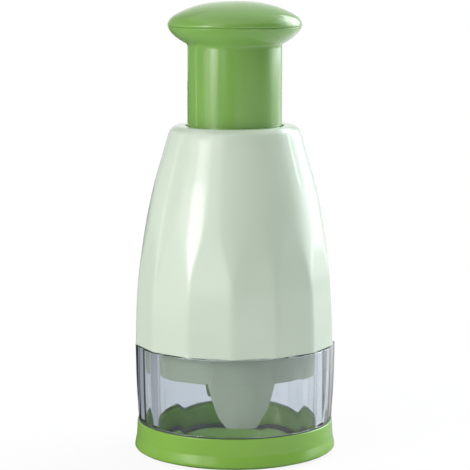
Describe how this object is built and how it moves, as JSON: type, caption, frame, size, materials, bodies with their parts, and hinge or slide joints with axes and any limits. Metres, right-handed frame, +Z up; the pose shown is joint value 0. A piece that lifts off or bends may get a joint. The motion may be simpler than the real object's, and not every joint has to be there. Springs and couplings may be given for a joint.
{
  "type": "plunger food chopper",
  "caption": "Hand-pressed food chopper: a knob drives a zigzag blade through a turning wiper plate onto a pad inside a clear faceted cup.",
  "frame": {"origin": "bottom centre of the chopper, on the axis of the stem", "axes": "+Z up along the stem towards the knob, -Y towards the front leg of the guard"},
  "size_m": [0.1048, 0.1048, 0.2332],
  "materials": {
    "green_plastic": "glossy leaf-green plastic",
    "mint_plastic": "glossy pale mint plastic",
    "clear_plastic": "thick clear plastic with a faint lavender tint",
    "guard_plastic": "satin grey-green plastic",
    "pad_plastic": "satin pale green cutting pad",
    "seal_rubber": "soft grey seal",
    "foot_rubber": "soft green non-slip ring",
    "bearing_plastic": "off-white low-friction plastic",
    "wiper_plastic": "pale grey-green plastic",
    "spring_steel": "drawn spring wire",
    "screw_steel": "plated screw steel",
    "shaft_steel": "turned stainless steel",
    "blade_steel": "ground stainless steel"
  },
  "bodies": {
    "base": {"base_cap": "green_plastic", "cutting_pad": "pad_plastic", "base_gasket": "seal_rubber", "foot_ring": "foot_rubber"},
    "cup": {"clear_cup": "clear_plastic"},
    "head": {"housing_shell": "mint_plastic", "stem_guide_ring": "bearing_plastic", "blade_guard": "guard_plastic", "guard_screws": "screw_steel", "wiper_retainer": "bearing_plastic", "mechanism_tower": "bearing_plastic", "tower_screws": "screw_steel", "spring_seat": "screw_steel", "return_spring": "spring_steel"},
    "plunger": {"plunger_stem": "green_plastic", "knob_cap": "green_plastic", "spring_cup": "bearing_plastic", "shaft_washer": "screw_steel"},
    "blades": {"drive_shaft": "shaft_steel", "shaft_screw": "screw_steel", "clutch_collar": "bearing_plastic", "collar_pin": "shaft_steel", "drive_rotor": "bearing_plastic", "clutch_spring": "spring_steel", "clutch_clip": "spring_steel", "blade_holder": "guard_plastic", "holder_pin": "shaft_steel", "zigzag_blade": "blade_steel"},
    "wiper": {"wiper_plate": "wiper_plastic"}
  },
  "joints": [
    {"name": "cup_lift", "type": "slide", "parent": "base", "child": "cup", "axis": [0, 0, 1], "range_m": [0, 0.04]},
    {"name": "head_lift", "type": "slide", "parent": "cup", "child": "head", "axis": [0, 0, 1], "range_m": [0, 0.06]},
    {"name": "plunger_press", "type": "slide", "parent": "head", "child": "plunger", "axis": [0, 0, 1], "range_m": [-0.04, 0], "stiffness_N_per_m": 500, "springref_m": 0.02, "deforming": ["return_spring"]},
    {"name": "blade_turn", "type": "hinge", "parent": "plunger", "child": "blades", "pos_m": [0, 0, 0.15], "axis": [0, 0, 1], "range_deg": [0, 30]},
    {"name": "wiper_turn", "type": "hinge", "parent": "head", "child": "wiper", "pos_m": [0, 0, 0.045], "axis": [0, 0, 1], "range_deg": [0, 30]}
  ],
  "couplings": [
    {"joint": "blade_turn", "follows": "plunger_press", "rad_per_m": -13.09},
    {"joint": "wiper_turn", "follows": "plunger_press", "rad_per_m": -13.09}
  ]
}
